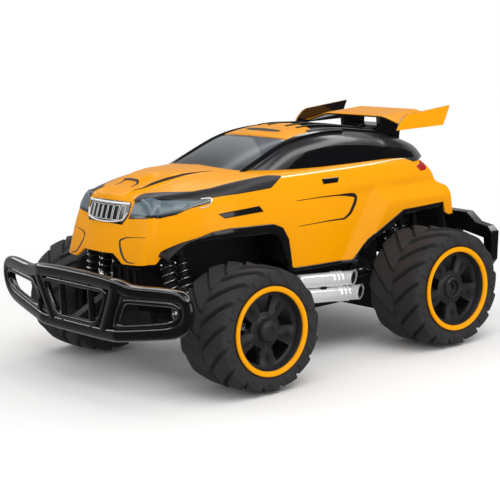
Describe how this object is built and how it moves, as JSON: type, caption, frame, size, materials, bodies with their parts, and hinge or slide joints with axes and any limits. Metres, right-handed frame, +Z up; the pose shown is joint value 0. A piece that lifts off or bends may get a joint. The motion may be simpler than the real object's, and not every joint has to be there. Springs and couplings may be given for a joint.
{
  "type": "rc monster truck",
  "caption": "Radio-controlled monster truck: chevron-lug tyres, steered coil-over front arms, geared live rear axle, and a moulded off-road body with bull bar, pipes and wing.",
  "frame": {"origin": "on the ground under the middle of the wheelbase, at the centre of the bounding box's base", "axes": "+X forward along the truck, +Y to its left, +Z up"},
  "size_m": [0.38, 0.283, 0.195],
  "materials": {
    "rubber": "matt",
    "orange": "gloss",
    "gloss_black": "gloss",
    "black": "satin",
    "steel": "bright",
    "chrome_plate": "chrome plated",
    "lens": "clear gloss",
    "red_lens": "clear gloss",
    "white": "satin",
    "brass": "machined",
    "board": "satin",
    "cells": "shrink wrap"
  },
  "bodies": {
    "chassis": {"chassis_tub": "black", "battery_pack": "cells", "circuit_board": "board", "steering_servo": "black", "body_shell": "orange", "cabin": "gloss_black", "roof_panel": "orange", "grille": "chrome_plate", "headlight_left": "lens", "headlight_right": "lens", "tail_light_left": "red_lens", "tail_light_right": "red_lens", "wing": "orange", "wing_mount": "gloss_black", "exhaust_left": "chrome_plate", "exhaust_right": "chrome_plate", "bull_bar": "gloss_black", "rear_bumper": "black", "side_trim_left": "gloss_black", "side_trim_right": "gloss_black"},
    "steering_link": {"steering_link": "black"},
    "servo_arm": {"servo_arm": "white"},
    "rear_swing": {"rear_axle_housing": "black", "gear_cover": "black", "drive_motor": "steel"},
    "rear_axle": {"rear_axle_shaft": "steel", "spur_gear": "white", "tyre_rear_left": "rubber", "tyre_rear_right": "rubber", "rim_rear_left": "gloss_black", "rim_rear_right": "gloss_black"},
    "motor_pinion": {"motor_pinion": "brass"},
    "battery_door": {"battery_door": "black"},
    "power_switch": {"power_switch": "white"},
    "front_arm_left": {"front_arm_left": "black"},
    "knuckle_left": {"steering_knuckle_left": "black", "stub_axle_left": "steel"},
    "front_wheel_left": {"tyre_front_left": "rubber", "rim_front_left": "gloss_black"},
    "shock_bodies_front_left": {"shock_bodies_front_left": "black", "spring_front_left_front": "steel", "spring_front_left_rear": "steel"},
    "shock_rods_front_left": {"shock_rods_front_left": "steel"},
    "shock_bodies_rear_left": {"shock_bodies_rear_left": "black", "spring_rear_left_front": "steel", "spring_rear_left_rear": "steel"},
    "shock_rods_rear_left": {"shock_rods_rear_left": "steel"},
    "front_arm_right": {"front_arm_right": "black"},
    "knuckle_right": {"steering_knuckle_right": "black", "stub_axle_right": "steel"},
    "front_wheel_right": {"tyre_front_right": "rubber", "rim_front_right": "gloss_black"},
    "shock_bodies_front_right": {"shock_bodies_front_right": "black", "spring_front_right_front": "steel", "spring_front_right_rear": "steel"},
    "shock_rods_front_right": {"shock_rods_front_right": "steel"},
    "shock_bodies_rear_right": {"shock_bodies_rear_right": "black", "spring_rear_right_front": "steel", "spring_rear_right_rear": "steel"},
    "shock_rods_rear_right": {"shock_rods_rear_right": "steel"}
  },
  "joints": [
    {"name": "front_arm_left_swing", "type": "hinge", "parent": "chassis", "child": "front_arm_left", "pos_m": [0.1005, 0.028, 0.05], "axis": [1, 0, 0], "range_deg": [0, 8], "stiffness_Nm_per_rad": 2, "springref_deg": -17.19},
    {"name": "front_arm_right_swing", "type": "hinge", "parent": "chassis", "child": "front_arm_right", "pos_m": [0.1005, -0.028, 0.05], "axis": [-1, 0, 0], "range_deg": [0, 8], "stiffness_Nm_per_rad": 2, "springref_deg": -17.19},
    {"name": "rear_swing_pivot", "type": "hinge", "parent": "chassis", "child": "rear_swing", "pos_m": [-0.026, 0, 0.048], "axis": [0, 1, 0], "range_deg": [0, 6], "stiffness_Nm_per_rad": 4, "springref_deg": -17.19},
    {"name": "steer_left", "type": "hinge", "parent": "front_arm_left", "child": "knuckle_left", "pos_m": [0.1005, 0.09, 0.05], "axis": [0, 0, 1], "range_deg": [-20, 20]},
    {"name": "front_wheel_left_spin", "type": "hinge", "parent": "knuckle_left", "child": "front_wheel_left", "pos_m": [0.1005, 0.1108, 0.05], "axis": [0, 1, 0], "continuous": true},
    {"name": "steer_right", "type": "hinge", "parent": "front_arm_right", "child": "knuckle_right", "pos_m": [0.1005, -0.09, 0.05], "axis": [0, 0, 1], "range_deg": [-20, 20]},
    {"name": "front_wheel_right_spin", "type": "hinge", "parent": "knuckle_right", "child": "front_wheel_right", "pos_m": [0.1005, -0.1108, 0.05], "axis": [0, 1, 0], "continuous": true},
    {"name": "steering_link_slide", "type": "slide", "parent": "chassis", "child": "steering_link", "axis": [0, 1, 0], "range_m": [-0.0063, 0.0063]},
    {"name": "servo_arm_turn", "type": "hinge", "parent": "chassis", "child": "servo_arm", "pos_m": [0.0645, 0, 0.051], "axis": [0, 0, 1], "range_deg": [-20, 20]},
    {"name": "rear_axle_spin", "type": "hinge", "parent": "rear_swing", "child": "rear_axle", "pos_m": [-0.1005, 0, 0.05], "axis": [0, 1, 0], "continuous": true},
    {"name": "motor_pinion_spin", "type": "hinge", "parent": "rear_swing", "child": "motor_pinion", "pos_m": [-0.07787, 0, 0.058], "axis": [0, 1, 0], "continuous": true},
    {"name": "shock_front_left_lean", "type": "hinge", "parent": "chassis", "child": "shock_bodies_front_left", "pos_m": [0.127, 0.05, 0.11], "axis": [1, 0, 0], "range_deg": [-0.6, 0]},
    {"name": "shock_front_left_stroke", "type": "slide", "parent": "shock_bodies_front_left", "child": "shock_rods_front_left", "axis": [0, -0.207, 0.9783], "range_m": [0, 0.0048], "deforming": ["spring_front_left_front", "spring_front_left_rear"]},
    {"name": "shock_front_right_lean", "type": "hinge", "parent": "chassis", "child": "shock_bodies_front_right", "pos_m": [0.127, -0.05, 0.11], "axis": [-1, 0, 0], "range_deg": [-0.6, 0]},
    {"name": "shock_front_right_stroke", "type": "slide", "parent": "shock_bodies_front_right", "child": "shock_rods_front_right", "axis": [0, 0.207, 0.9783], "range_m": [0, 0.0048], "deforming": ["spring_front_right_front", "spring_front_right_rear"]},
    {"name": "shock_rear_left_lean", "type": "hinge", "parent": "chassis", "child": "shock_bodies_rear_left", "pos_m": [-0.12, 0.042, 0.104], "axis": [1, 0, 0], "range_deg": [0, 2.8]},
    {"name": "shock_rear_left_stroke", "type": "slide", "parent": "shock_bodies_rear_left", "child": "shock_rods_rear_left", "axis": [0, -0.207, 0.9783], "range_m": [0, 0.0097], "deforming": ["spring_rear_left_front", "spring_rear_left_rear"]},
    {"name": "shock_rear_right_lean", "type": "hinge", "parent": "chassis", "child": "shock_bodies_rear_right", "pos_m": [-0.12, -0.042, 0.104], "axis": [-1, 0, 0], "range_deg": [0, 2.8]},
    {"name": "shock_rear_right_stroke", "type": "slide", "parent": "shock_bodies_rear_right", "child": "shock_rods_rear_right", "axis": [0, 0.207, 0.9783], "range_m": [0, 0.0097], "deforming": ["spring_rear_right_front", "spring_rear_right_rear"]},
    {"name": "battery_door_hinge", "type": "hinge", "parent": "chassis", "child": "battery_door", "pos_m": [-0.01, -0.0167, 0.036], "axis": [-1, 0, 0], "range_deg": [0, 85]},
    {"name": "power_switch_slide", "type": "slide", "parent": "chassis", "child": "power_switch", "axis": [1, 0, 0], "range_m": [0, 0.004]}
  ],
  "couplings": [
    {"joint": "shock_front_left_lean", "follows": "front_arm_left_swing", "ratio": -0.0694},
    {"joint": "shock_front_left_stroke", "follows": "front_arm_left_swing", "m_per_rad": 0.033745},
    {"joint": "shock_front_right_lean", "follows": "front_arm_right_swing", "ratio": -0.0694},
    {"joint": "shock_front_right_stroke", "follows": "front_arm_right_swing", "m_per_rad": 0.033745},
    {"joint": "shock_rear_left_lean", "follows": "rear_swing_pivot", "ratio": 0.4445},
    {"joint": "shock_rear_left_stroke", "follows": "rear_swing_pivot", "m_per_rad": 0.091141},
    {"joint": "shock_rear_right_lean", "follows": "rear_swing_pivot", "ratio": 0.4445},
    {"joint": "shock_rear_right_stroke", "follows": "rear_swing_pivot", "m_per_rad": 0.091141},
    {"joint": "steer_right", "follows": "steer_left", "ratio": 1},
    {"joint": "steering_link_slide", "follows": "steer_left", "m_per_rad": -0.01765},
    {"joint": "servo_arm_turn", "follows": "steer_left", "ratio": -1},
    {"joint": "motor_pinion_spin", "follows": "rear_axle_spin", "ratio": -3}
  ]
}
